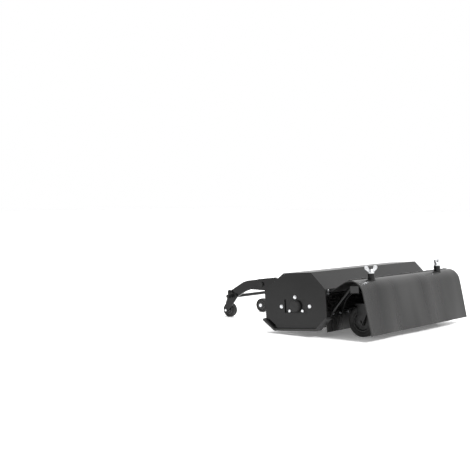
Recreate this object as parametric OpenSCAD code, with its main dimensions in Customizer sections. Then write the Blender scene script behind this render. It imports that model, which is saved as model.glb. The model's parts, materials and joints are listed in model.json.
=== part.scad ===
// Front-mounted lawn sweeper: a brush deck on two casters, with two hitch arms
// and small parking wheels behind. +X is forward, +Y the machine's left, +Z up.

/* [Deck] */
// Length of the deck across the machine, over the end plates
deck_w = 1000; // [900:10:1100]
// Height of the brush axis above the ground
axis_h = 142; // [138:1:150]
// Nose-up tilt of the parked deck, in degrees
tilt = 4.5; // [3:0.5:6]
// Thickness of the end plates
plate_t = 6; // [5:1:8]
// Thickness of the bent sheet housing
sheet_t = 4; // [3:1:5]

/* [Brush] */
// Radius over the bristles
brush_r = 128; // [120:1:128]
// Radius of the tube that carries the bristle rings
core_r = 25; // [22:1:30]
// Number of bristle rings
rings = 20; // [12:1:22]

/* [Front] */
// Distance of each caster spindle from the middle of the deck
spindle_y = 325; // [300:5:340]
// Distance that the caster wheel trails behind its spindle
trail = 56; // [50:1:58]
// Radius of the caster wheels
caster_r = 75; // [70:1:76]
// Length of the flap across the machine
flap_w = 960; // [900:10:980]
// Thickness of the rubber flap
flap_t = 5; // [4:1:6]

/* [Hitch] */
// Distance of each hitch arm from the middle of the deck
arm_y = 170; // [150:5:200]
// Radius of the parking wheels
park_r = 40; // [38:1:42]

/* [Hidden] */
$fn = 64;

black = "#26272a";
dark = "#37383b";
rubber = "#1d1d1f";
zinc = "#c3c6c9";
bristle = "#3a3a3c";
hub_grey = "#a9abad";

// Gap of a running fit, on the radius
run = 0.05;
// Gap between faces that turn against each other
face_gap = 0.3;

// Deck outline, [x, z] from the brush axis
front_x = 182;
rear_x = -186;
top_z = 163.5;
low_z = -108;
roof = [[front_x, 80], [103, top_z], [-62, top_z], [rear_x, 80]];
belly = [[rear_x, -62], [-127, low_z], [122, low_z], [front_x, -56]];
lip_z = 50;
lip_bolt_r = 3;
lip_bolts = [58, 73];
half_w = deck_w / 2;
inner_w = half_w - plate_t;

// Skids: the flat bar bent round the bottom of each end plate
skid_t = 11;
skid_out = 14;
skid_in = 20;

// Right end: window in the plate, bearing carrier behind it and its bolts
window_x = 66;
window_z = [-31, 34];
boss_r = 29;
stub_r = 12.5;
bearing_ring = 45;
carrier_bolt_x = 85;
carrier_t = 8;
bolt_r = 4;
head_r = 7.5;
head_h = 5.5;

// Front bar, beam and guide tubes
bar_z = [-54, -28];
bar_depth = 20;
beam_x = [308, 356];
beam_z = [58, 92];
beam_half = 476;
beam_wall = 4;
arm_plate_t = 8;
beam_arm_y = 366;
spindle_x = 333;
guide_z = [34, 141.7];
guide_r = 17;
screw_r = 13;
stem_r = 8;
screw_top = 142;
stem_top = 166;

// Flap: a flat strip, an arc about flap_c and a straight skirt
flap_c = [312, 48];
flap_r = 70;
flap_rear = 298;
flap_lean = 10.4;
flap_low = -143;
flap_split = 48;
flap_mid = flap_r - flap_t / 2;
flap_pivot = flap_c + flap_mid * [cos(flap_split), sin(flap_split)];
flap_gap = 0.6;
tube_hole_r = 19;

// Casters: the spindle's foot and the wheel's centre, from the brush axis
crown_t = 8;
crown_z = 0;
bearing_h = 8;
caster_x = spindle_x - trail;
caster_z = (caster_r - axis_h - caster_x * sin(tilt)) / cos(tilt);
caster_w = 50;
caster_rim_r = 50;
leg_gap = 30;
leg_t = 6;
caster_axle_r = 6;

// Hitch arms and parking wheels
arm_t = 12;
bracket_t = 8;
park_x = -721;
park_z = (park_r - axis_h - park_x * sin(tilt)) / cos(tilt);
park_w = 34;
park_rim_r = 24;
park_y = arm_y - arm_t / 2 - park_w / 2;
leg_face = arm_y + arm_t / 2;
hitch_pin = [-680.5, 33];
cross_at = [-650, 32];
pin_r = 10;
pin_foot_r = 9;
pin_out = 28;
arm_pivot = [-455, 94];
pivot_r = 8;
stop_r = 6;
arm_stop = [-385, 58 - stop_r - face_gap];
leg_bolt = [-690, 56];

// Drive: gearbox on the rear wall, cross shaft to the left, belt to the brush
shaft_x = -238;
shaft_r = 11;
box_x = [-290, rear_x];
box_half = 52;
box_z = 44;
box_wall = 6;
gear_in = 12;
gear_out = 30;
belt_y = [465, 477];
belt_t = 8;
big_r = 70;
small_r = 50;
input_z = [70, 98];
input_r = 50;
case_y = [440, inner_w];
case_x = -300;
case_z = 60;
case_t = 3;
bulkhead_y = [430, 436];

// Everything is drawn from the brush axis, then placed so that the origin is
// on the ground under the middle of the whole machine.
flap_tip = flap_end(flap_r);
rear_reach = at_ground([park_x, park_z])[0] - park_r;
front_reach = at_ground(flap_tip)[0];
centre_x = (rear_reach + front_reach) / 2;

function at_ground(p) = [
    p[0] * cos(tilt) - p[1] * sin(tilt), axis_h + p[0] * sin(tilt) + p[1] * cos(tilt)
];
function flap_start(r) = flap_c + r * [cos(flap_lean), sin(flap_lean)];
function flap_end(r) =
    let (s = flap_start(r), drop = (flap_start(flap_r)[1] - flap_low) / cos(flap_lean))
    s + drop * [sin(flap_lean), -cos(flap_lean)];
function arc(c, r, from, to, n = 12) = [
    for (i = [0:n]) let (a = from + (to - from) * i / n) c + r * [cos(a), sin(a)]
];
function unit(v) = v / norm(v);
function left_of(v) = [-v[1], v[0]];
function mitre(a, b, c, d) =
    let (n1 = left_of(unit(b - a)), n2 = left_of(unit(c - b)), m = unit(n1 + n2))
    b + m * d / (m * n1);
// Points of a strip t thick on the left of a bent line
function strip(p, t) =
    let (last = len(p) - 1)
    concat(p, [for (i = [last:-1:0])
        i == 0 ? p[0] + t * left_of(unit(p[1] - p[0]))
        : i == last ? p[last] + t * left_of(unit(p[last] - p[last - 1]))
        : mitre(p[i - 1], p[i], p[i + 1], t)]);

module deck() {
    translate([-centre_x, 0, axis_h]) rotate([0, -tilt, 0]) children();
}

// Draws a flat [x, z] shape from y0 to y1
module across(y0, y1) {
    translate([0, y1, 0]) rotate([90, 0, 0]) linear_extrude(y1 - y0) children();
}

// A round bar along Y
module rod(p, r, y0, y1) {
    across(y0, y1) translate(p) circle(r);
}

module disc(p, r) {
    translate(p) circle(r);
}

// A flat link between two round ends
module link(p, rp, q, rq) {
    hull() {
        disc(p, rp);
        disc(q, rq);
    }
}

// A hex bolt along Y: its head stands on y and its shank runs to y_end
module bolt(p, y, y_end) {
    s = sign(y - y_end);
    far = y + s * head_h;
    rod(p, bolt_r, min(y + s, y_end), max(y + s, y_end));
    translate([p[0], (y + far) / 2, p[1]]) rotate([90, 30, 0])
        cylinder(r = head_r, h = head_h, center = true, $fn = 6);
}

module mirrored(side) {
    if (side > 0) mirror([0, 1, 0]) children();
    else children();
}

/* ---- deck shell and ends ---- */

module plate_outline() {
    polygon(concat(roof, belly));
}

module housing_shell() {
    bent = concat([[front_x, lip_z]], roof, [[rear_x, -62], [-150, -90]]);
    color(dark) deck() difference() {
        across(-inner_w, inner_w) polygon(strip(bent, sheet_t));
        // Belt opening in the rear wall
        translate([rear_x - 5, 456, -57]) cube([14, 30, 114]);
        for (s = [-1, 1], z = lip_bolts) along_x([front_x - 10, s * 478, z], 20, lip_bolt_r);
    }
}

module right_end_plate() {
    slot_at = [-151, -80];
    slot_turn = atan2(belly[1][1] - belly[0][1], belly[1][0] - belly[0][0]);
    color(dark) deck() across(-half_w, -inner_w) difference() {
        plate_outline();
        translate([-window_x, window_z[0]]) square([2 * window_x, window_z[1] - window_z[0]]);
        translate(slot_at) rotate(slot_turn) square([52, 8], center = true);
        disc([0, bearing_ring], bolt_r);
        for (s = [-1, 1]) disc([s * carrier_bolt_x, 0], bolt_r);
    }
}

cover_bolts = [[120, 110], [-110, 110], [-150, -40], [150, -30]];

module left_end_plate() {
    color(dark) deck() across(inner_w, half_w) difference() {
        plate_outline();
        for (p = cover_bolts) disc(p, bolt_r);
    }
}

module skid(side, tip) {
    line = [belly[0] + tip * unit(belly[0] - belly[1]), belly[1], belly[2], [184, -54.3]];
    color(black) deck() mirrored(side)
        across(-half_w - skid_out, -inner_w + skid_in)
            polygon(strip(line, -skid_t));
}

module right_skid() { skid(-1, 9); }
module left_skid() { skid(1, 0.5); }

/* ---- brush bearings ---- */

function ring_spots() = [for (a = [90, 210, 330]) bearing_ring * [cos(a), sin(a)]];

module bearing_carrier() {
    color(black) deck() across(-inner_w, -inner_w + carrier_t) difference() {
        translate([-105, -58]) square([210, 116]);
        disc([0, 0], boss_r);
        for (p = ring_spots()) disc(p, bolt_r);
        for (s = [-1, 1]) disc([s * carrier_bolt_x, 0], bolt_r);
    }
}

module bearing_flange() {
    difference() {
        disc([0, 0], bearing_ring + 13);
        disc([0, 0], stub_r + run);
        for (p = ring_spots()) disc(p, bolt_r);
    }
}

module right_bearing() {
    inside = -inner_w + carrier_t;
    color(dark) deck() {
        difference() {
            union() {
                rod([0, 0], boss_r, -half_w - 9, inside);
                rod([0, 0], boss_r - 4, -half_w - 12, -half_w - 9);
            }
            rod([0, 0], stub_r + run, -half_w - 6, inside + 1);
        }
        across(inside, inside + 6) bearing_flange();
    }
}

module left_bearings() {
    color(dark) deck() {
        across(bulkhead_y[1], bulkhead_y[1] + 6) bearing_flange();
        across(bulkhead_y[1] + 6, bulkhead_y[1] + 16) difference() {
            disc([0, 0], boss_r);
            disc([0, 0], stub_r + run);
        }
        across(case_y[0] + case_t, case_y[0] + case_t + 12) difference() {
            disc([shaft_x, 0], 24);
            disc([shaft_x, 0], shaft_r + run);
        }
    }
}

module bearing_bolts() {
    back = -inner_w + carrier_t + 6;
    spots = ring_spots();
    color(zinc) deck() {
        bolt(spots[0], -half_w, back);
        for (i = [1, 2]) bolt(spots[i], -inner_w, back);
        for (s = [-1, 1]) bolt([s * carrier_bolt_x, 0], -half_w, -inner_w + carrier_t);
        for (p = spots) bolt(p, bulkhead_y[1] + 6, bulkhead_y[0]);
        for (p = cover_bolts) bolt(p, half_w, inner_w);
    }
}

module drive_bulkhead() {
    color(black) deck() across(bulkhead_y[0], bulkhead_y[1]) difference() {
        offset_outline(sheet_t + 0.2);
        disc([0, 0], stub_r + 6);
        for (p = ring_spots()) disc(p, bolt_r);
    }
}

// The deck outline drawn in by d, cut off above the lower bar
module offset_outline(d) {
    ring = concat([[front_x, lip_z]], roof, [belly[0], [-150, -90]]);
    inner = [for (i = [1:len(ring) - 2]) mitre(ring[i - 1], ring[i], ring[i + 1], d)];
    foot = [[-140, -84], [120, -84], [150, -40], [155, bar_z[1] + 1]];
    polygon(concat([[front_x - d, bar_z[1] + 1]], inner, foot));
}

/* ---- front bar, beam and bridge ---- */

module lower_bar() {
    color(black) deck() difference() {
        across(-inner_w, inner_w)
            translate([front_x - bar_depth, bar_z[0]]) square([bar_depth, bar_z[1] - bar_z[0]]);
        for (y = bar_spots()) along_x([front_x - bar_depth - 1, y, bar_mid], bar_depth + 2, bolt_r);
    }
}

bar_mid = (bar_z[0] + bar_z[1]) / 2;
function bar_spots() = [for (i = [-7:7]) i * 64];

module along_x(p, h, r) {
    translate(p) rotate([0, 90, 0]) cylinder(r = r, h = h);
}

module bolt_x(p, x_end, r, head) {
    along_x([x_end, p[1], p[2]], p[0] - x_end + 1, r);
    translate(p) rotate([0, 90, 0]) cylinder(r = head, h = r + 1, $fn = 6);
}

curtain_t = 4;

module curtain() {
    x = front_x - bar_depth - curtain_t;
    color(rubber) deck() difference() {
        across(-inner_w + skid_in + 1, inner_w - skid_in - 1)
            translate([x, -128]) square([curtain_t, 128 + bar_z[1] - 4]);
        for (y = bar_spots()) along_x([x - 1, y, bar_mid], curtain_t + 2, bolt_r);
    }
}

module bar_bolts() {
    x = front_x - bar_depth - curtain_t;
    color(zinc) deck() {
        for (y = bar_spots()) bolt_x([front_x, y, bar_mid], x, bolt_r, head_r - 2);
        for (s = [-1, 1], z = lip_bolts)
            bolt_x([front_x, s * 478, z], front_x - sheet_t, lip_bolt_r, 5.8);
    }
}

module front_beam() {
    w = beam_x[1] - beam_x[0];
    h = beam_z[1] - beam_z[0];
    color(black) deck() difference() {
        across(-beam_half, beam_half) translate([beam_x[0], beam_z[0]]) square([w, h]);
        across(-beam_half - 1, beam_half + 1)
            translate([beam_x[0] + beam_wall, beam_z[0] + beam_wall])
                square([w - 2 * beam_wall, h - 2 * beam_wall]);
        for (s = [-1, 1])
            translate([spindle_x, s * spindle_y, beam_z[0] - 1]) cylinder(r = guide_r, h = h + 2);
    }
}

module beam_arms() {
    low = [[front_x, -53], [190, -24], [205, 15], [226, 36], [258, 54], [beam_x[0], 62]];
    high = [[beam_x[0], 90], [250, 86], [214, 68], [192, 38], [front_x, -8]];
    color(dark) deck() for (s = [-1, 1])
        across(s * beam_arm_y - arm_plate_t / 2, s * beam_arm_y + arm_plate_t / 2)
            polygon(concat(low, high));
}

module struts() {
    color(dark) deck() for (s = [-1, 1])
        across(s * 469 - 3, s * 469 + 3)
            polygon([[front_x, -53], [front_x, -41], [beam_x[0], 86], [beam_x[0], 74]]);
}

module guide_tubes() {
    color(black) deck() for (s = [-1, 1])
        translate([spindle_x, s * spindle_y, guide_z[0]]) difference() {
            cylinder(r = guide_r, h = guide_z[1] - guide_z[0]);
            translate([0, 0, -1]) cylinder(r = screw_r, h = guide_z[1] - guide_z[0] + 2);
        }
}

bridge_t = 3;
bridge_z = flap_c[1] + flap_r - flap_t;

module bridge_plate() {
    line = [[312, bridge_z], [286, bridge_z], [190, 66], [front_x, 66], [front_x, 60]];
    color(dark) deck() difference() {
        across(-beam_half, beam_half) polygon(strip(line, bridge_t));
        for (s = [-1, 1]) translate([front_x - 1, s * 478 - 12, 50]) cube([20, 24, 45]);
        for (y = clamp_spots()) translate([clamp_x, y, 90]) cylinder(r = 4, h = 40);
    }
}

/* ---- flap ---- */

clamp_x = 306;
clamp_t = 3;
function clamp_spots() = [for (i = [-5:5]) i * 90];

module flap_top() {
    stop = flap_split + asin((flap_t / 2 + flap_gap) / flap_mid);
    outer = arc(flap_c, flap_r, 90, stop);
    inner = arc(flap_c, flap_r - flap_t, stop, 90);
    flat_end = [[flap_rear, bridge_z], [flap_rear, bridge_z + flap_t]];
    color(rubber) deck() difference() {
        across(-flap_w / 2, flap_w / 2) polygon(concat(flat_end, outer, inner));
        for (s = [-1, 1])
            translate([spindle_x, s * spindle_y, 80]) cylinder(r = tube_hole_r, h = 60);
        for (y = clamp_spots()) translate([clamp_x, y, 90]) cylinder(r = 4, h = 40);
    }
}

module flap_skirt() {
    outer = arc(flap_c, flap_r, flap_split, flap_lean);
    inner = arc(flap_c, flap_r - flap_t, flap_lean, flap_split);
    color(rubber) deck() across(-flap_w / 2, flap_w / 2) {
        polygon(concat(outer, [flap_end(flap_r), flap_end(flap_r - flap_t)], inner));
        disc(flap_pivot, flap_t / 2 + 0.2);
    }
}

module clamp_bar() {
    z = bridge_z + flap_t;
    color(black) deck() difference() {
        across(-470, 470) translate([clamp_x - 8, z]) square([13, clamp_t]);
        for (y = clamp_spots()) translate([clamp_x, y, z - 1]) cylinder(r = 4, h = 6);
    }
}

module clamp_bolts() {
    z = bridge_z - bridge_t;
    color(black) deck() for (y = clamp_spots()) translate([clamp_x, y, z]) {
        cylinder(r = 4, h = bridge_t + flap_t + clamp_t + 0.5);
        translate([0, 0, bridge_t + flap_t + clamp_t]) cylinder(r = 5.5, h = 1.2);
    }
}

/* ---- hitch arms ---- */

arm_outline = [
    [-359, 128], [-476, 122], [-560, 116], [-590, 109], [-612, 99], [-690, 61], [-700, 42],
    [-700, 22], [-690, 14], [-664, 14], [-640, 28], [-612, 42], [-580, 57], [-545, 67], [-510, 65],
    [-435, 60], [-359, 58]
];
bracket_outline = [
    [-478, 63], [-478, 123], [-359, 129.5], [-330, 104], [rear_x, 66], [rear_x, -44],
    [-214, -44], [-290, 18], [-385, 38], [-400, 42], [-420, 60]
];

module bracket(side) {
    color(dark) deck() mirrored(side)
        across(-leg_face - face_gap - bracket_t, -leg_face - face_gap) difference() {
        polygon(bracket_outline);
        disc(arm_pivot, pivot_r);
        disc(arm_stop, stop_r);
        if (side > 0) disc([shaft_x, 0], shaft_r + 5);
    }
}

module right_bracket() { bracket(-1); }
module left_bracket() { bracket(1); }

module arm(side) {
    color(dark) deck() mirrored(side) across(-leg_face, -leg_face + arm_t) difference() {
        polygon(arm_outline);
        disc(arm_pivot, pivot_r + run);
        disc(leg_bolt, bolt_r);
        disc(hitch_pin, pin_foot_r);
        disc(cross_at, 9);
    }
}

module right_arm() { arm(-1); }
module left_arm() { arm(1); }

module wheel_leg(side) {
    color(dark) deck() mirrored(side) across(-leg_face - bracket_t, -leg_face) difference() {
        union() {
            link(hitch_pin, 22, [park_x, park_z], 16);
            link([-655, 30], 17, [park_x, park_z], 14);
            link(hitch_pin, 22, leg_bolt, 12);
        }
        disc(leg_bolt, bolt_r);
        disc(hitch_pin, pin_foot_r);
        disc([park_x, park_z], caster_axle_r);
    }
}

module right_leg() { wheel_leg(-1); }
module left_leg() { wheel_leg(1); }

module cross_tube() {
    color(black) deck() rod(cross_at, 9, -leg_face, leg_face);
}

// Pivots of the arms, and the pins that the arms' front ends rest on
module pivot_bolts() {
    y = leg_face + face_gap + bracket_t;
    color(black) deck() for (s = [-1, 1]) mirrored(s) {
        rod(arm_pivot, pivot_r, -y - 1, -leg_face + arm_t + 1);
        rod(arm_pivot, 12, -leg_face + arm_t + face_gap, -leg_face + arm_t + 5);
        translate([arm_pivot[0], -y - 4, arm_pivot[1]]) rotate([90, 30, 0])
            cylinder(r = 13.5, h = 8, center = true, $fn = 6);
        rod(arm_stop, stop_r, -y, -leg_face + arm_t);
    }
}

module leg_bolts() {
    color(black) deck() for (s = [-1, 1]) mirrored(s)
        bolt(leg_bolt, -leg_face - bracket_t, -leg_face + arm_t);
}

module hitch_pins() {
    y = leg_face + bracket_t;
    color(black) deck() for (s = [-1, 1]) mirrored(s) difference() {
        union() {
            rod(hitch_pin, pin_r, -y - pin_out, -y);
            rod(hitch_pin, pin_foot_r, -y - 1, -leg_face + arm_t);
        }
        translate([hitch_pin[0], -y - pin_out + 7, hitch_pin[1] - 20]) cylinder(r = 2.5, h = 40);
    }
}

module parking_axles() {
    y = leg_face + bracket_t;
    color(zinc) deck() for (s = [-1, 1]) mirrored(s) {
        rod([park_x, park_z], caster_axle_r, -y, -park_y + park_w / 2 + 4);
        translate([park_x, -y - 3.5, park_z]) rotate([90, 0, 0])
            cylinder(r = head_r, h = head_h, center = true, $fn = 6);
        rod([park_x, park_z], 10, -park_y + park_w / 2 + 1, -park_y + park_w / 2 + 6);
    }
}

module parking_tyre(side) {
    color(rubber) deck() mirrored(side)
        translate([park_x, -park_y, park_z]) rotate([90, 0, 0]) rotate_extrude() polygon([
            [park_rim_r, -park_w / 2 + 2], [park_r - 5, -park_w / 2], [park_r, -park_w / 2 + 6],
            [park_r, park_w / 2 - 6], [park_r - 5, park_w / 2], [park_rim_r, park_w / 2 - 2]
        ]);
}

module right_parking_tyre() { parking_tyre(-1); }
module left_parking_tyre() { parking_tyre(1); }

module parking_hub(side) {
    color(hub_grey) deck() mirrored(side)
        translate([park_x, -park_y, park_z]) rotate([90, 0, 0]) difference() {
            union() {
                cylinder(r = park_rim_r, h = park_w - 4, center = true);
                cylinder(r = 12, h = park_w, center = true);
            }
            cylinder(r = caster_axle_r + run, h = park_w + 2, center = true);
        }
}

module right_parking_hub() { parking_hub(-1); }
module left_parking_hub() { parking_hub(1); }

/* ---- drive ---- */

module gearbox_case() {
    color(dark) deck() difference() {
        translate([box_x[0], -box_half, -box_z])
            cube([box_x[1] - box_x[0], 2 * box_half, 2 * box_z]);
        translate([box_x[0] + box_wall, -box_half + box_wall, -box_z + box_wall])
            cube([box_x[1] - box_x[0] - 2 * box_wall, 2 * (box_half - box_wall), 2 * box_z]);
        rod([shaft_x, 0], shaft_r + run, 0, box_half + 1);
    }
}

module gearbox_lid() {
    color(dark) deck() difference() {
        union() {
            translate([box_x[0], -box_half, box_z])
                cube([box_x[1] - box_x[0], 2 * box_half, 8]);
            translate([shaft_x, 0, box_z]) cylinder(r = 24, h = 18);
        }
        translate([shaft_x, 0, box_z - 1]) cylinder(r = shaft_r + run, h = 22);
    }
}

module bevel() {
    cylinder(r1 = gear_in - 0.6, r2 = gear_out - 0.6, h = gear_out - gear_in);
}

module cross_shaft() {
    color(zinc) deck() {
        rod([shaft_x, 0], shaft_r, -box_half + box_wall + 1, belt_y[1] + 8);
        translate([shaft_x, gear_in, 0]) rotate([-90, 0, 0]) bevel();
    }
}

module input_shaft() {
    color(zinc) deck() translate([shaft_x, 0, 0]) {
        translate([0, 0, gear_in]) bevel();
        translate([0, 0, gear_in + 2]) cylinder(r = shaft_r, h = input_z[1] + 8 - gear_in - 2);
    }
}

// A V-belt pulley of radius r about Z, with a bore
module pulley(r, w, bore_r) {
    g = belt_t;
    s = (w - (belt_y[1] - belt_y[0])) / 2 - face_gap;
    rotate_extrude() polygon([
        [bore_r, 0], [r, 0], [r, s], [r - g, s], [r - g, w - s], [r, w - s], [r, w], [bore_r, w]
    ]);
}

pulley_w = 22;

module pulley_at(p, r, bore_r) {
    y = (belt_y[0] + belt_y[1] + pulley_w) / 2;
    translate([p[0], y, p[1]]) rotate([90, 0, 0]) pulley(r, pulley_w, bore_r);
}

module rotor_pulley() { color(zinc) deck() pulley_at([0, 0], big_r, stub_r); }
module belt_pulley() { color(zinc) deck() pulley_at([shaft_x, 0], small_r, shaft_r); }

module input_pulley() {
    w = input_z[1] - input_z[0];
    color(dark) deck() translate([shaft_x, 0, input_z[0]]) rotate_extrude() polygon([
        [shaft_r, 0], [input_r, 0], [input_r, 4], [input_r - 14, 10], [input_r - 14, w - 10],
        [input_r, w - 4], [input_r, w], [shaft_r, w]
    ]);
}

module drive_belt() {
    inset = belt_t - face_gap;
    color(rubber) deck() across(belt_y[0], belt_y[1]) difference() {
        link([0, 0], big_r, [shaft_x, 0], small_r);
        link([0, 0], big_r - inset, [shaft_x, 0], small_r - inset);
    }
}

module drive_case() {
    color(dark) deck() difference() {
        translate([case_x, case_y[0], -case_z])
            cube([rear_x - case_x, case_y[1] - case_y[0], 2 * case_z]);
        translate([case_x + case_t, case_y[0] + case_t, -case_z + case_t])
            cube([rear_x - case_x, case_y[1] - case_y[0] - 2 * case_t, 2 * (case_z - case_t)]);
        rod([shaft_x, 0], shaft_r + 4, case_y[0] - 1, case_y[0] + case_t + 1);
    }
}

/* ---- brush rotor ---- */

rotor_y = [-472, 424];
brush_y = [-466, 418];

module rotor_shaft() {
    color(zinc) deck() {
        rod([0, 0], core_r, rotor_y[0], rotor_y[1]);
        rod([0, 0], stub_r, -half_w - 4, rotor_y[0]);
        rod([0, 0], stub_r, rotor_y[1], belt_y[1] + 8);
    }
}

module brush() {
    length = brush_y[1] - brush_y[0];
    pitch = length / rings;
    gap = 5;
    color(bristle) deck() translate([0, brush_y[1], 0]) rotate([90, 0, 0]) rotate_extrude(convexity = 8)
        polygon(concat(
            [[core_r, 0]],
            [for (i = [0:rings - 1], p = [[brush_r - 40, 0], [brush_r, gap / 2], [brush_r, pitch - gap / 2],
                [brush_r - 40, pitch]]) [p[0], i * pitch + p[1]]],
            [[core_r, length]]
        ));
}

/* ---- casters ---- */

module at_spindle(side) {
    deck() translate([spindle_x, side * spindle_y, crown_z]) children();
}

module thrust_bearing(side) {
    color(zinc) at_spindle(side) translate([0, 0, face_gap]) difference() {
        cylinder(r = guide_r + 1, h = bearing_h - face_gap);
        translate([0, 0, -1]) cylinder(r = stem_r + run, h = bearing_h + 2);
    }
}

module right_thrust_bearing() { thrust_bearing(-1); }
module left_thrust_bearing() { thrust_bearing(1); }

module wing_screw(side, turn) {
    color(zinc) at_spindle(side) difference() {
        union() {
            translate([0, 0, bearing_h + face_gap])
                cylinder(r = screw_r - run, h = screw_top - bearing_h - face_gap);
            translate([0, 0, screw_top]) cylinder(r = 15, h = 5);
            translate([0, 0, screw_top + 5]) cylinder(r1 = 14, r2 = 11, h = 15);
            rotate(turn) for (m = [0, 1]) mirror([m, 0, 0])
                translate([0, 5, 0]) rotate([90, 0, 0]) linear_extrude(10) {
                    polygon([[8, 150], [13, 147], [29, 163], [25, 180], [15, 177], [9, 162]]);
                    disc([22, 171], 9);
                }
        }
        translate([0, 0, -1]) cylinder(r = stem_r + run, h = 200);
    }
}

module right_wing_screw() { wing_screw(-1, 40); }
module left_wing_screw() { wing_screw(1, 100); }

module fork(side) {
    color(dark) at_spindle(side) {
        translate([-trail - 22, -leg_gap - leg_t, crown_z - crown_t])
            cube([trail + 44, 2 * (leg_gap + leg_t), crown_t]);
        cylinder(r = stem_r, h = stem_top);
        for (s = [-1, 1]) translate([0, s * (leg_gap + leg_t / 2), 0])
            across(-leg_t / 2, leg_t / 2) difference() {
                union() {
                    polygon([[-trail - 16, caster_z], [-trail - 14, -crown_t], [8, -crown_t],
                        [-trail + 15, caster_z - 5]]);
                    disc([-trail, caster_z], 16);
                }
                disc([-trail, caster_z], caster_axle_r);
            }
    }
}

module right_fork() { fork(-1); }
module left_fork() { fork(1); }

module at_caster(side) {
    deck() translate([caster_x, side * spindle_y, caster_z]) rotate([90, 0, 0]) children();
}

module caster_axle(side) {
    l = leg_gap + leg_t;
    color(zinc) at_caster(side) {
        cylinder(r = caster_axle_r, h = 2 * l, center = true);
        for (s = [-1, 1]) translate([0, 0, s * (l + 3)])
            cylinder(r = head_r, h = 6, center = true, $fn = 6);
    }
}

module right_caster_axle() { caster_axle(-1); }
module left_caster_axle() { caster_axle(1); }

module caster_tyre(side) {
    w = caster_w / 2;
    color(rubber) at_caster(side) rotate_extrude() polygon([
        [caster_rim_r, -w + 4], [caster_r - 12, -w], [caster_r - 4, -w + 5], [caster_r, -w + 13],
        [caster_r, w - 13], [caster_r - 4, w - 5], [caster_r - 12, w], [caster_rim_r, w - 4]
    ]);
}

module right_caster_tyre() { caster_tyre(-1); }
module left_caster_tyre() { caster_tyre(1); }

module caster_hub(side) {
    w = caster_w / 2;
    color(dark) at_caster(side) difference() {
        rotate_extrude() polygon([
            [0, -w - 3], [18, -w - 3], [20, -w + 10], [40, -w + 12], [44, -w + 4], [caster_rim_r, -w + 4],
            [caster_rim_r, w - 4], [44, w - 4], [40, w - 12], [20, w - 10], [18, w + 3], [0, w + 3]
        ]);
        cylinder(r = caster_axle_r + run, h = caster_w + 10, center = true);
    }
}

module right_caster_hub() { caster_hub(-1); }
module left_caster_hub() { caster_hub(1); }

housing_shell();
right_end_plate();
left_end_plate();
right_skid();
left_skid();
bearing_carrier();
right_bearing();
left_bearings();
bearing_bolts();
drive_bulkhead();
lower_bar();
curtain();
bar_bolts();
front_beam();
beam_arms();
struts();
guide_tubes();
bridge_plate();
flap_top();
clamp_bar();
clamp_bolts();
flap_skirt();
right_bracket();
left_bracket();
right_arm();
left_arm();
right_leg();
left_leg();
cross_tube();
pivot_bolts();
leg_bolts();
hitch_pins();
parking_axles();
gearbox_case();
gearbox_lid();
drive_case();
drive_belt();
rotor_shaft();
brush();
rotor_pulley();
cross_shaft();
belt_pulley();
input_shaft();
input_pulley();
right_thrust_bearing();
left_thrust_bearing();
right_wing_screw();
left_wing_screw();
right_fork();
left_fork();
right_caster_axle();
left_caster_axle();
right_caster_tyre();
left_caster_tyre();
right_caster_hub();
left_caster_hub();
right_parking_tyre();
left_parking_tyre();
right_parking_hub();
left_parking_hub();
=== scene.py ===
"""Looks of the front-mounted lawn sweeper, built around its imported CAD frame."""

import json
import math
import random

import bmesh
import bpy
from mathutils import Matrix, Vector


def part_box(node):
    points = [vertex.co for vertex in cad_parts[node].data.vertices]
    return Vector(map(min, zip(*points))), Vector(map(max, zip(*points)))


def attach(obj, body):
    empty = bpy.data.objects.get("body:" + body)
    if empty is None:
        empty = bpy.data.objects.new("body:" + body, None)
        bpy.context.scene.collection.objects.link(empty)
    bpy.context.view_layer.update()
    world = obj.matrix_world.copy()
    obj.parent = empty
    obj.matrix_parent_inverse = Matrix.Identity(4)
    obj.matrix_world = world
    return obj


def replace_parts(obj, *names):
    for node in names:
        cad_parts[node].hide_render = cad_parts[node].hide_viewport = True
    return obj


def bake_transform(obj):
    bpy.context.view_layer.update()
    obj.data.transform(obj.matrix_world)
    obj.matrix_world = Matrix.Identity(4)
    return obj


MM = 0.001
TILT = math.radians(4.5)
FLAP_LEAN = math.radians(10.4)

# Sizes in millimetres, and places measured from the brush axis in the untilted deck
BRUSH_RINGS = 20
BRISTLE_ROOT = 34
BRISTLE_TIP = 128
GUIDE_X = 333
GUIDE_Y = 325
GUIDE_HOLE_R = 19
GUIDE_TUBE_R = 18.2
BEAM_TOP = 92.4
BEAM_X = (308, 356)
BEAM_Z = (58, 92)
FLAP_WIDTH = 960
FLAP_THICKNESS = 5
FLAP_BEND = 70
FLAP_CENTRE = (312, 48)
FLAP_EDGE = (298, 305)
FLAP_HEM = -143

# Steps along the flap's bend and its straight skirt, and across its width
BEND_STEPS = 26
SKIRT_STEPS = 34
FLAP_COLUMNS = 120

random.seed(7)
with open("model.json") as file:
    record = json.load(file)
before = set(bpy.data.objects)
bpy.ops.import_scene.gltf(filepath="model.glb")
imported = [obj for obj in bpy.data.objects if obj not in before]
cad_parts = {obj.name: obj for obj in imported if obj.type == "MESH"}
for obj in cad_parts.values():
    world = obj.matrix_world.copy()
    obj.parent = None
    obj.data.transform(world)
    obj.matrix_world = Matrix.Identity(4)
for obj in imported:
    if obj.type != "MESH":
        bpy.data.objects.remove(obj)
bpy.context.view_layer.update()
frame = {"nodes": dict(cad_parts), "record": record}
NODES = frame["nodes"]


def corners(node):
    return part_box(node)


def middle(node):
    low, high = corners(node)
    return (low + high) / 2


AXIS = middle("brush")
AXIS_AT = Vector((AXIS.x, 0, AXIS.z))


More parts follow.
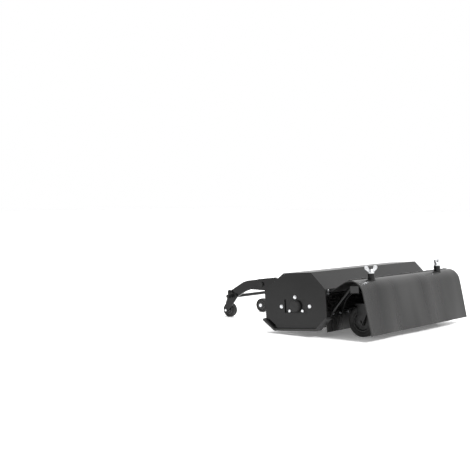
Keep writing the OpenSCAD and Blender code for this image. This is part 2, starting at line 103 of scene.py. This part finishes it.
def deck_point(x, y, z):
    """The frame's point, in metres, for one in millimetres from the brush axis in the deck."""
    c, s = math.cos(TILT), math.sin(TILT)
    return Vector((AXIS.x + (x * c - z * s) * MM, y * MM, AXIS.z + (x * s + z * c) * MM))


# ---- materials ----


class Shader:
    """A procedural material with one Principled shader."""

    def __init__(self, name, roughness, metallic=0.0):
        self.material = bpy.data.materials.new(name)
        self.material.use_nodes = True
        self.tree = self.material.node_tree
        self.bsdf = self.tree.nodes["Principled BSDF"]
        self.bsdf.inputs["Roughness"].default_value = roughness
        self.bsdf.inputs["Metallic"].default_value = metallic
        self.where = self.add("ShaderNodeTexCoord").outputs["Object"]

    def add(self, kind, **settings):
        node = self.tree.nodes.new(kind)
        for key, value in settings.items():
            setattr(node, key, value)
        return node

    def link(self, a, b):
        self.tree.links.new(a, b)

    def noise(self, scale, detail=3.0, stretch=(1, 1, 1)):
        mapping = self.add("ShaderNodeMapping")
        mapping.inputs["Scale"].default_value = stretch
        self.link(self.where, mapping.inputs["Vector"])
        node = self.add("ShaderNodeTexNoise")
        node.inputs["Scale"].default_value = scale
        node.inputs["Detail"].default_value = detail
        self.link(mapping.outputs["Vector"], node.inputs["Vector"])
        return node.outputs["Fac"]

    def ramp(self, fac, stops):
        node = self.add("ShaderNodeValToRGB")
        elements = node.color_ramp.elements
        while len(elements) < len(stops):
            elements.new(0.5)
        for element, (at, colour) in zip(elements, stops):
            element.position = at
            element.color = (*colour, 1)
        self.link(fac, node.inputs["Fac"])
        return node.outputs["Color"]

    def colour(self, fac, dark, light, low=0.35, high=0.65):
        self.link(self.ramp(fac, [(low, dark), (high, light)]), self.bsdf.inputs["Base Color"])

    def rough(self, fac, low, high):
        node = self.add("ShaderNodeMapRange")
        node.inputs["To Min"].default_value = low
        node.inputs["To Max"].default_value = high
        self.link(fac, node.inputs["Value"])
        self.link(node.outputs["Result"], self.bsdf.inputs["Roughness"])

    def bump(self, fac, strength, distance):
        node = self.add("ShaderNodeBump")
        node.inputs["Strength"].default_value = strength
        node.inputs["Distance"].default_value = distance
        self.link(fac, node.inputs["Height"])
        self.link(node.outputs["Normal"], self.bsdf.inputs["Normal"])


def grey(value, warm=0.0):
    return (value * (1 + warm), value, value * (1 - warm))


def powder_coat(name, dark, light):
    m = Shader(name, 0.45)
    m.bsdf.inputs["Specular IOR Level"].default_value = 0.18
    m.bsdf.inputs["Coat Weight"].default_value = 0.25
    m.bsdf.inputs["Coat Roughness"].default_value = 0.16
    m.colour(m.noise(5, 4), grey(dark), grey(light))
    m.rough(m.noise(9, 5), 0.3, 0.42)
    m.bump(m.noise(900, 2), 0.12, 0.0002)
    return m.material


def zinc():
    m = Shader("zinc_plate", 0.3, metallic=1.0)
    m.colour(m.noise(160, 3), (0.62, 0.63, 0.65), (0.86, 0.87, 0.88))
    m.rough(m.noise(240, 4), 0.2, 0.38)
    m.bump(m.noise(700, 2), 0.08, 0.0001)
    return m.material


def cast_iron(name, dark, light):
    m = Shader(name, 0.6, metallic=0.2)
    m.colour(m.noise(30, 4), grey(dark), grey(light))
    m.rough(m.noise(60, 4), 0.5, 0.75)
    m.bump(m.noise(420, 5), 0.35, 0.0006)
    return m.material


def flap_rubber():
    m = Shader("flap_rubber", 0.5)
    m.bsdf.inputs["Specular IOR Level"].default_value = 0.32
    # The base colour is painted in soft vertical bands, lighter and darker across the flap's
    # width: painted highlight streaks standing in for light caught on the sheet's undulations.
    m.colour(m.noise(5, 2, (0.3, 1, 0.12)), grey(0.008, 0.01), grey(0.027, 0.01))
    m.rough(m.noise(9, 3, (0.3, 1, 0.15)), 0.2, 0.36)
    m.bump(m.noise(1100, 2), 0.1, 0.0002)
    return m.material


def tyre_rubber():
    m = Shader("tyre_rubber", 0.75)
    m.colour(m.noise(26, 5), grey(0.007), grey(0.016, 0.04))
    m.rough(m.noise(50, 3), 0.6, 0.85)
    m.bump(m.noise(500, 4), 0.25, 0.0004)
    return m.material


def nylon(name, dark, light):
    m = Shader(name, 0.5)
    m.colour(m.noise(22, 3), grey(dark), grey(light))
    m.rough(m.noise(80, 3), 0.42, 0.6)
    m.bump(m.noise(800, 3), 0.15, 0.0002)
    return m.material


def bristle_plastic():
    m = Shader("bristle_plastic", 0.5)
    m.colour(m.noise(60, 4), grey(0.012), grey(0.045, 0.03))
    m.rough(m.noise(200, 2), 0.4, 0.65)
    m.bump(m.noise(900, 2), 0.1, 0.0002)
    return m.material


LOOKS = {
    "powder_coat": powder_coat("powder_coat", 0.004, 0.0065),
    "skid_steel": powder_coat("skid_paint", 0.014, 0.030),
    "zinc_steel": zinc(),
    "black_steel": powder_coat("black_oxide", 0.008, 0.014),
    "flap_rubber": flap_rubber(),
    "cast_black": cast_iron("painted_casting", 0.010, 0.018),
    "pulley_iron": cast_iron("turned_iron", 0.16, 0.26),
    "bristle": bristle_plastic(),
    "tyre_rubber": tyre_rubber(),
    "black_plastic": nylon("black_nylon", 0.010, 0.018),
    "grey_plastic": nylon("grey_nylon", 0.16, 0.24),
}

# Width of the rounded edge on the CAD nodes, in millimetres
EDGES = {
    "front_beam": 3.0,
    "lower_bar": 1.5,
    "gearbox_case": 4.0,
    "gearbox_lid": 2.0,
    "drive_case": 3.0,
    "housing_shell": 1.2,
    "right_wing_screw": 1.4,
    "left_wing_screw": 1.4,
}


def dress_cad():
    for part in frame["record"]["subparts"]:
        node = NODES[part["node"]]
        node.data.materials.clear()
        node.data.materials.append(LOOKS[part["material_slot"]])
        for face in node.data.polygons:
            face.use_smooth = True
        weld = node.modifiers.new("weld", "WELD")
        weld.merge_threshold = 0.00001
        flats = node.modifiers.new("flats", "DECIMATE")
        flats.decimate_type = "DISSOLVE"
        flats.angle_limit = math.radians(0.5)
        edge = node.modifiers.new("edge", "BEVEL")
        edge.width = EDGES.get(part["node"], 0.8) * MM
        edge.segments = 2
        edge.limit_method = "ANGLE"
        edge.angle_limit = math.radians(28)
        normals = node.modifiers.new("normals", "WEIGHTED_NORMAL")
        normals.weight = 50


# ---- new pieces ----


def new_piece(name, mesh_data, body, look, smooth=True):
    piece = bpy.data.objects.new(name, mesh_data)
    bpy.context.scene.collection.objects.link(piece)
    mesh_data.materials.append(LOOKS[look])
    for face in mesh_data.polygons:
        face.use_smooth = smooth
    if body:
        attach(piece, body)
    return piece


def mesh_from(name, verts, faces):
    data = bpy.data.meshes.new(name)
    data.from_pydata([tuple(v) for v in verts], [], faces)
    data.validate()
    data.update()
    return data


def flap_profile():
    """Mid-line of the flap in the deck, from its clamped edge to its hem, in millimetres."""
    centre = Vector(FLAP_CENTRE)
    mid = FLAP_BEND - FLAP_THICKNESS / 2
    lean = math.degrees(FLAP_LEAN)
    line = [Vector((x, centre.y + mid)) for x in FLAP_EDGE]
    for i in range(BEND_STEPS + 1):
        a = math.radians(90 + (lean - 90) * i / BEND_STEPS)
        line.append(centre + mid * Vector((math.cos(a), math.sin(a))))
    start = line[-1]
    skirt_top = centre.y + FLAP_BEND * math.sin(FLAP_LEAN)
    drop = (skirt_top - FLAP_HEM) / math.cos(FLAP_LEAN)
    down = Vector((math.sin(FLAP_LEAN), -math.cos(FLAP_LEAN)))
    line += [start + down * drop * i / SKIRT_STEPS for i in range(1, SKIRT_STEPS + 1)]
    return line


def flap():
    """One continuous sheet of rubber, clamped along its top and hanging free below its bend."""
    line = flap_profile()
    columns = FLAP_COLUMNS
    bend_end = len(line) - SKIRT_STEPS - 1
    half = FLAP_THICKNESS / 2
    verts, faces = [], []
    for side in (1, -1):
        for i, p in enumerate(line):
            a, b = line[max(i - 1, 0)], line[min(i + 1, len(line) - 1)]
            along = (b - a).normalized()
            out = Vector((-along.y, along.x))
            down = max(0, i - bend_end) / SKIRT_STEPS
            for j in range(columns + 1):
                t = j / columns * 2 - 1
                wave = (4.2 * math.sin(4.6 * t + 0.6) + 2.4 * math.sin(9.7 * t + 2.0)) * down**1.4
                q = p + out * (side * half + wave - 2.2 * down)
                sag = 1.6 * math.cos(math.pi * t / 2) * math.sin(math.pi * min(1, i / bend_end))
                verts.append(deck_point(q.x, t * FLAP_WIDTH / 2, q.y - sag))
    rows, row = len(line), columns + 1
    layer = rows * row
    for i in range(rows - 1):
        for j in range(columns):
            a = i * row + j
            faces.append((a, a + 1, a + row + 1, a + row))
            b = a + layer
            faces.append((b, b + row, b + row + 1, b + 1))
    rim = list(range(columns + 1))
    rim += [i * row + columns for i in range(1, rows)]
    rim += [(rows - 1) * row + j for j in range(columns - 1, -1, -1)]
    rim += [i * row for i in range(rows - 2, 0, -1)]
    for k, a in enumerate(rim):
        b = rim[(k + 1) % len(rim)]
        faces.append((a, a + layer, b + layer, b))
    data = mesh_from("flap_sheet", verts, faces)
    tidy_normals(data)
    piece = new_piece("flap_sheet", data, None, "flap_rubber")
    cut_holes(piece)
    edge = piece.modifiers.new("edge", "BEVEL")
    edge.width = 1.2 * MM
    edge.segments = 3
    edge.limit_method = "ANGLE"
    edge.angle_limit = math.radians(50)
    bake_modifiers(piece)
    for face in piece.data.polygons:
        face.use_smooth = True
    normals = piece.modifiers.new("normals", "WEIGHTED_NORMAL")
    normals.weight = 50
    a = math.radians(48)
    along = Vector((math.sin(a), -math.cos(a)))
    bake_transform(piece)
    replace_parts(piece, "flap_top", "flap_skirt")


def tidy_normals(data):
    bm = bmesh.new()
    bm.from_mesh(data)
    bmesh.ops.recalc_face_normals(bm, faces=bm.faces)
    bm.to_mesh(data)
    bm.free()


def cut_holes(piece):
    """Cut the two holes that the guide tubes stand through."""
    for side in (-1, 1):
        data = bpy.data.meshes.new("hole")
        bm = bmesh.new()
        radius = GUIDE_HOLE_R * MM
        bmesh.ops.create_cone(
            bm, cap_ends=True, segments=48, radius1=radius, radius2=radius, depth=60 * MM
        )
        bm.to_mesh(data)
        bm.free()
        cutter = bpy.data.objects.new("hole", data)
        bpy.context.scene.collection.objects.link(cutter)
        place = Matrix.Translation(deck_point(GUIDE_X, side * GUIDE_Y, 105))
        cutter.matrix_world = place @ Matrix.Rotation(-TILT, 4, "Y")
        cut = piece.modifiers.new("hole", "BOOLEAN")
        cut.operation = "DIFFERENCE"
        cut.object = cutter
        cut.solver = "EXACT"
        bake_modifiers(piece)
        bpy.data.objects.remove(cutter)


def bake_modifiers(piece):
    bpy.context.view_layer.update()
    graph = bpy.context.evaluated_depsgraph_get()
    made = bpy.data.meshes.new_from_object(piece.evaluated_get(graph))
    piece.modifiers.clear()
    piece.data = made


def bristles():
    """Rings of bristle tufts on the tube, in place of the ringed solid."""
    y0, y1 = corners("brush")[0].y, corners("brush")[1].y
    pitch = (y1 - y0) / BRUSH_RINGS
    verts, faces = [], []

    def strand(angle, y, sweep, lean, length, thick):
        base = len(verts)
        for k in range(4):
            s = k / 3
            r = (BRISTLE_ROOT + (length - BRISTLE_ROOT) * s) * MM
            a = angle + sweep * s * s
            centre = Vector((r * math.cos(a), y + lean * s, r * math.sin(a)))
            side = Vector((-math.sin(a), 0, math.cos(a)))
            w = thick * (1 - 0.35 * s)
            for u, v in ((-1, -1), (1, -1), (1, 1), (-1, 1)):
                verts.append(AXIS_AT + centre + side * (u * w) + Vector((0, v * w, 0)))
        for k in range(3):
            for n in range(4):
                a = base + 4 * k + n
                b = base + 4 * k + (n + 1) % 4
                faces.append((a, b, b + 4, a + 4))
        faces.append((base + 12, base + 13, base + 14, base + 15))
        faces.append((base + 3, base + 2, base + 1, base))

    for ring in range(BRUSH_RINGS):
        centre_y = y0 + pitch * (ring + 0.5)
        for tuft in range(64):
            angle = 2 * math.pi * (tuft + 0.5 * (ring % 2)) / 64
            for _ in range(6):
                strand(
                    angle + random.uniform(-0.035, 0.035),
                    centre_y + random.uniform(-0.36, 0.36) * pitch,
                    random.uniform(-0.05, 0.05),
                    random.uniform(-0.12, 0.12) * pitch,
                    random.uniform(BRISTLE_TIP - 6, BRISTLE_TIP - 0.5),
                    random.uniform(0.8, 1.3) * MM,
                )
    data = mesh_from("bristle_rings", verts, faces)
    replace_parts(new_piece("bristle_rings", data, "rotor", "bristle"), "brush")
    core = []
    for ring in range(BRUSH_RINGS):
        centre_y = y0 + pitch * (ring + 0.5)
        half = ((25.2, 0.42), (44, 0.40), (52, 0.25))
        core += [(r, centre_y - part * pitch) for r, part in half]
        core += [(r, centre_y + part * pitch) for r, part in reversed(half)]
    core.append((24.5, core[-1][1]))
    core.append((24.5, core[0][1]))
    data = lathe("brush_ring_cores", core, AXIS_AT, 64)
    new_piece("brush_ring_cores", data, "rotor", "black_plastic")


def lathe(name, outline, centre, count):
    """A closed outline of (radius in mm, y in m) turned about Y through centre."""
    verts, faces = [], []
    n = len(outline)
    for i in range(count):
        a = 2 * math.pi * i / count
        for r, y in outline:
            verts.append(centre + Vector((r * MM * math.cos(a), y, r * MM * math.sin(a))))
    for i in range(count):
        for k in range(n):
            a, b = i * n + k, i * n + (k + 1) % n
            c, d = ((i + 1) % count) * n + (k + 1) % n, ((i + 1) % count) * n + k
            faces.append((a, b, c, d))
    data = mesh_from(name, verts, faces)
    tidy_normals(data)
    return data


def washers():
    """A plain washer under each hex head on the right end plate."""
    spots = [(0, 45), (85, 0), (-85, 0)]
    low_y = corners("right_end_plate")[0].y
    for i, (x, z) in enumerate(spots):
        at = deck_point(x, 0, z)
        outline = [(4.2, low_y - 0.0012), (9.0, low_y - 0.0012), (9.3, low_y - 0.0009),
                   (9.3, low_y - 0.0001), (4.2, low_y - 0.0001)]
        centre = Vector((at.x, 0, at.z))
        new_piece(f"washer_{i}", lathe(f"washer_{i}", outline, centre, 40), "deck", "zinc_steel")


def weld_beads():
    """A rippled fillet weld round the foot of each guide tube, where it leaves the beam."""
    for name, side in (("right", -1), ("left", 1)):
        verts, faces = [], []
        around, ring = 144, 10
        for i in range(around):
            a = 2 * math.pi * i / around
            ripple = 2.6 + 0.35 * math.sin(a * 36)
            for k in range(ring):
                b = 2 * math.pi * k / ring
                r = GUIDE_TUBE_R + ripple * math.cos(b)
                x, y = GUIDE_X + r * math.cos(a), side * GUIDE_Y + r * math.sin(a)
                verts.append(deck_point(x, y, BEAM_TOP + ripple * math.sin(b)))
        for i in range(around):
            for k in range(ring):
                n, m = (i + 1) % around, (k + 1) % ring
                faces.append((i * ring + k, i * ring + m, n * ring + m, n * ring + k))
        data = mesh_from(f"{name}_tube_weld", verts, faces)
        tidy_normals(data)
        new_piece(f"{name}_tube_weld", data, "deck", "powder_coat")


def tyre_outline(rim, outer, half, at_y, grooves):
    """Rounded shoulders and a flat tread with plain grooves, as (radius in mm, y in m)."""
    shoulder = min(8, half * 0.4)
    side = [(rim, half - 3.5), (rim + 2.5, half - 1.5), ((rim + outer) / 2, half - 0.2)]
    turn = []
    for i in range(7):
        a = math.radians(15 * i)
        r = outer - shoulder - 0.6 + shoulder * math.sin(a)
        turn.append((r, half - shoulder + shoulder * math.cos(a)))
    tread = []
    for g in grooves:
        tread += [(outer - 0.3, g + 1.6), (outer - 2.6, g + 1.1)]
        tread += [(outer - 2.6, g - 1.1), (outer - 0.3, g - 1.6)]
    right = side + turn
    left = [(r, -y) for r, y in reversed(right)]
    return [(r, at_y + y * MM) for r, y in right + tread + left]


def tyres():
    """Turned rubber treads in place of the plain tyre rings."""
    for wheel, rim, outer, grooves in (("caster", 50, 75, (7, 0, -7)), ("parking", 24, 40, (0,))):
        for side in ("right", "left"):
            node = f"{side}_{wheel}_tyre"
            low, high = corners(node)
            at = (low + high) / 2
            half = (high.y - low.y) / 2 / MM
            outline = tyre_outline(rim, outer, half, at.y, grooves)
            name = f"{side}_{wheel}_tread"
            data = lathe(name, outline, Vector((at.x, 0, at.z)), 96)
            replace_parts(new_piece(name, data, f"{side}_{wheel}_wheel", "tyre_rubber"), node)


def hub_rings():
    """Black rings pressed over both faces of the parking wheels' hubs."""
    for side, inward in (("right", 1), ("left", -1)):
        low, high = corners(f"{side}_parking_hub")
        at = (low + high) / 2
        rim = [(12.6, -1.9), (23.4, -1.9), (23.4, -0.9), (21, -0.2), (16, 0), (12.6, 0)]
        for face, out in ((high.y, 1), (low.y, -1)):
            name = f"{side}_hub_ring_{'in' if out == inward else 'out'}"
            points = [(r, face + out * y * MM) for r, y in rim]
            data = lathe(name, points, Vector((at.x, 0, at.z)), 64)
            new_piece(name, data, f"{side}_parking_wheel", "black_plastic")


def beam_caps():
    """Plastic plugs in the open ends of the cross beam."""
    low, high = corners("front_beam")
    for side, end in (("right", low.y), ("left", high.y)):
        out = -1 if side == "right" else 1
        verts = []
        rings = ((-9, 4.6), (0, 4.6), (0, 0.6), (1.2, 0.6), (2.0, 1.6))  # depth, inset
        for depth, inset in rings:
            (x0, x1), (z0, z1) = BEAM_X, BEAM_Z
            x0, x1, z0, z1 = x0 + inset, x1 - inset, z0 + inset, z1 - inset
            for x, z in ((x0, z0), (x1, z0), (x1, z1), (x0, z1)):
                point = deck_point(x, 0, z)
                verts.append(Vector((point.x, end + out * depth * MM, point.z)))
        faces = [(3, 2, 1, 0), tuple(range(4 * len(rings) - 4, 4 * len(rings)))]
        for k in range(len(rings) - 1):
            for n in range(4):
                a, b = 4 * k + n, 4 * k + (n + 1) % 4
                faces.append((a, b, b + 4, a + 4))
        data = mesh_from(f"{side}_beam_cap", verts, faces)
        tidy_normals(data)
        new_piece(f"{side}_beam_cap", data, "deck", "black_plastic", smooth=False)


# ---- stage ----


def floor():
    reach = 30
    square = [(-reach, -reach, 0), (reach, -reach, 0), (reach, reach, 0), (-reach, reach, 0)]
    data = mesh_from("floor", square, [(0, 1, 2, 3)])
    ground = bpy.data.objects.new("floor", data)
    bpy.context.scene.collection.objects.link(ground)
    m = Shader("pale_floor", 0.6)
    m.bsdf.inputs["Emission Color"].default_value = (1, 1, 1, 1)
    m.bsdf.inputs["Emission Strength"].default_value = 0.17
    m.colour(m.noise(0.6, 2), grey(0.94), grey(0.96))
    data.materials.append(m.material)


def sky():
    """A studio that is white toward +Y and grey toward -Y."""
    world = bpy.data.worlds.new("studio")
    bpy.context.scene.world = world
    world.use_nodes = True
    tree = world.node_tree
    back = tree.nodes["Background"]
    where = tree.nodes.new("ShaderNodeTexCoord")
    split = tree.nodes.new("ShaderNodeSeparateXYZ")
    ramp = tree.nodes.new("ShaderNodeValToRGB")
    spread = tree.nodes.new("ShaderNodeMapRange")
    spread.inputs["From Min"].default_value = -1.0
    tree.links.new(where.outputs["Generated"], split.inputs["Vector"])
    tree.links.new(split.outputs["Y"], spread.inputs["Value"])
    tree.links.new(spread.outputs["Result"], ramp.inputs["Fac"])
    ramp.color_ramp.elements[0].position = 0.15
    ramp.color_ramp.elements[0].color = (0.62, 0.62, 0.62, 1)
    ramp.color_ramp.elements[1].position = 0.62
    ramp.color_ramp.elements[1].color = (1, 1, 1, 1)
    tree.links.new(ramp.outputs["Color"], back.inputs["Color"])
    back.inputs["Strength"].default_value = 1.0


def area_light(name, at, target, size, power):
    data = bpy.data.lights.new(name, "AREA")
    data.shape = "DISK"
    data.size = size
    data.energy = power
    lamp = bpy.data.objects.new(name, data)
    bpy.context.scene.collection.objects.link(lamp)
    lamp.location = at
    lamp.rotation_euler = (Vector(target) - Vector(at)).to_track_quat("-Z", "Y").to_euler()


def camera():
    """Low, in front of the deck's right side, through a long lens."""
    data = bpy.data.cameras.new("view")
    data.sensor_width = 36
    data.lens = 74.5
    eye = bpy.data.objects.new("view", data)
    bpy.context.scene.collection.objects.link(eye)
    eye.location = (AXIS.x + 2.818, -4.317, 0.690)
    azimuth, pitch = math.radians(40), math.radians(2.44)
    level = math.cos(pitch)
    ahead = Vector((-math.sin(azimuth) * level, math.cos(azimuth) * level, -math.sin(pitch)))
    eye.rotation_euler = ahead.to_track_quat("-Z", "Y").to_euler()
    bpy.context.scene.camera = eye


dress_cad()
flap()
bristles()
tyres()
hub_rings()
beam_caps()
washers()
weld_beads()
floor()
sky()
area_light("key", (5.0, -0.6, 4.0), (0.2, 0, 0.1), 1.4, 380)
area_light("top", (-1.5, 1.5, 5.0), (0, 0, 0.1), 3.0, 160)
camera()
bpy.context.scene.view_settings.view_transform = "Standard"
